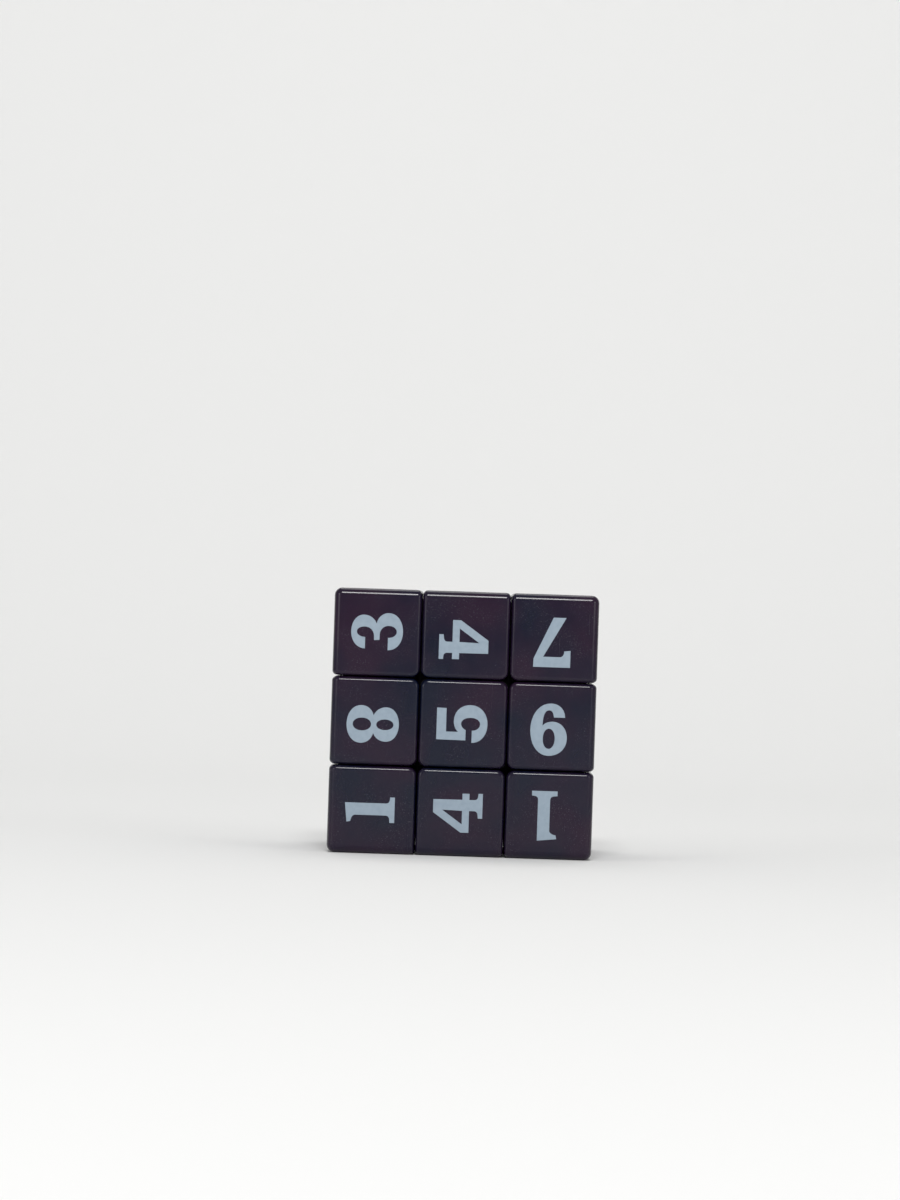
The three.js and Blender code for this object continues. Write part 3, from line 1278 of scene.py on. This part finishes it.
@dataclass
class InnerWorks:
    """The core, the centres' bodies and the feet, which keep the shape that the frame gives them."""

    nodes: dict[str, bpy.types.Object]

    def dress(self, core_finish: bpy.types.Material, foot_finish: bpy.types.Material) -> None:
        """Gives each inner piece its finish.

        Args:
            core_finish: The pale plastic of the core.
            foot_finish: The black plastic of the feet and the centres' bodies.
        """
        for name, node in self.nodes.items():
            if name == "core":
                finish = core_finish
            elif "_foot_" in name or "_base_" in name:
                finish = foot_finish
            else:
                continue
            for slot in node.material_slots:
                slot.material = finish
            log.info("dressed %s", name)


@dataclass(frozen=True)
class Lamp:
    """A soft square lamp: its name, where it hangs, the length of its side and its power in watts."""

    name: str
    place: tuple[float, float, float]
    side: float
    power: float

    def hang(self) -> None:
        """Hangs the lamp, pointed at the cube and unseen by the camera."""
        light = bpy.data.lights.new(self.name, "AREA")
        light.size = self.side
        light.energy = self.power
        lamp = bpy.data.objects.new(self.name, light)
        lamp.location = self.place
        lamp.visible_camera = False
        lamp.rotation_euler = (-Vector(self.place)).to_track_quat("-Z", "Y").to_euler()
        bpy.context.scene.collection.objects.link(lamp)


@dataclass
class Studio:
    """A plain pale sweep of paper, soft lamps and the photograph's camera."""

    floor_height: float = -26.55 * MM
    floor_width: float = 3.0
    floor_front: float = -1.6
    floor_back: float = 0.4
    sweep_radius: float = 0.35
    wall_height: float = 1.2
    sweep_steps: int = 16
    lamps: tuple[Lamp, ...] = (
        Lamp("lamp_key", (0.0, -1.3, 1.24), 0.44, 13.0),
        Lamp("lamp_left", (-0.85, -0.8, 0.26), 0.5, 1.7),
        Lamp("lamp_right", (0.85, -0.8, 0.26), 0.5, 1.5),
        Lamp("lamp_behind", (0.0, 0.4, 0.9), 0.45, 1.5),
    )
    surround: Colour = (1.0, 1.0, 1.0, 1.0)
    surround_strength: float = 0.36
    front_face: float = -26.5 * MM
    camera_distance: float = 1.145
    view_height: float = 0.240
    view_limit: float = 20.0
    cube_right: float = 2.6 * MM
    cube_below: float = 24.8 * MM
    cube_tilt: float = math.radians(1.9)
    sensor: float = 36.0

    def build_sweep(self, finish: bpy.types.Material) -> None:
        """Lays the floor, which bends up into the backdrop.

        Args:
            finish: The paper.
        """
        profile = [(self.floor_front, self.floor_height)]
        for step in range(self.sweep_steps + 1):
            angle = step / self.sweep_steps * math.pi / 2
            along = self.floor_back + self.sweep_radius * math.sin(angle)
            profile.append((along, self.floor_height + self.sweep_radius * (1 - math.cos(angle))))
        profile.append((self.floor_back + self.sweep_radius, self.wall_height))
        wide = self.floor_width / 2
        points = [(side, y, z) for y, z in profile for side in (-wide, wide)]
        sides = [(i, i + 1, i + 3, i + 2) for i in range(0, len(points) - 2, 2)]
        mesh = bpy.data.meshes.new("paper_sweep")
        mesh.from_pydata(points, [], sides)
        mesh.shade_smooth()
        mesh.materials.append(finish)
        new_object("paper_sweep", mesh)

    def build_light(self) -> None:
        """Hangs the lamps and sets the surrounding light."""
        for lamp in self.lamps:
            lamp.hang()
        world = bpy.data.worlds.new("studio")
        world.use_nodes = True
        background = world.node_tree.nodes["Background"]
        background.inputs["Color"].default_value = self.surround
        background.inputs["Strength"].default_value = self.surround_strength
        bpy.context.scene.world = world
        bpy.context.scene.view_settings.view_transform = "Standard"

    def build_camera(self) -> None:
        """Sets up the camera at the photograph's viewing angle and framing."""
        data = bpy.data.cameras.new("camera")
        data.sensor_width = self.sensor
        data.lens = self.sensor * self.camera_distance / self.view_height
        data.clip_end = self.view_limit
        camera = bpy.data.objects.new("camera", data)
        turn = Matrix.Rotation(self.cube_tilt, 4, "Z")
        level = Matrix.Rotation(math.radians(90), 4, "X")
        right = level @ turn @ Vector((1, 0, 0))
        up = level @ turn @ Vector((0, 1, 0))
        aim = up * self.cube_below - right * self.cube_right
        aim.y = self.front_face
        stand = Vector((0.0, self.front_face - self.camera_distance, aim.z))
        look = (aim - stand).to_track_quat("-Z", "Y").to_matrix().to_4x4()
        camera.matrix_world = Matrix.Translation(stand) @ look @ turn
        bpy.context.scene.collection.objects.link(camera)
        bpy.context.scene.camera = camera


def main() -> None:
    """Loads the frame and builds every piece around it, in order."""
    logging.basicConfig(level=logging.INFO, format="%(name)s: %(message)s")
    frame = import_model()
    shell_plastic = Moulded(
        "shell_plastic",
        dark=srgb(10, 16, 38),
        light=srgb(36, 17, 40),
        roughness=(0.11, 0.19),
        peel=0.1,
        gloss_level=0.36,
        dust=0.4,
        polished_from=(24.2 * MM, 25.0 * MM),
    )
    foot_plastic = Moulded("foot_plastic", srgb(26, 26, 29), srgb(33, 32, 36), (0.42, 0.55), peel=0.3)
    core_plastic = Moulded("core_plastic", srgb(186, 184, 176), srgb(198, 196, 188), (0.42, 0.55), peel=0.3)
    ink = Ink("digit_ink", srgb(144, 160, 175), srgb(152, 168, 182), (0.42, 0.55))
    zinc = Plated("zinc_steel", srgb(188, 190, 194), srgb(212, 214, 217), (0.24, 0.4))
    paper = Paper("pale_paper", srgb(246, 246, 245))
    studio = Studio()
    studio.build_camera()
    studio.build_light()
    studio.build_sweep(paper.make())
    shells = CubieShells()
    shells.build(shell_plastic.make())
    PrintedDigits(shells).build(ink.make())
    SprungScrews().build(zinc.make())
    InnerWorks(frame["nodes"]).dress(core_plastic.make(), foot_plastic.make())


if __name__ == "__main__":
    main()
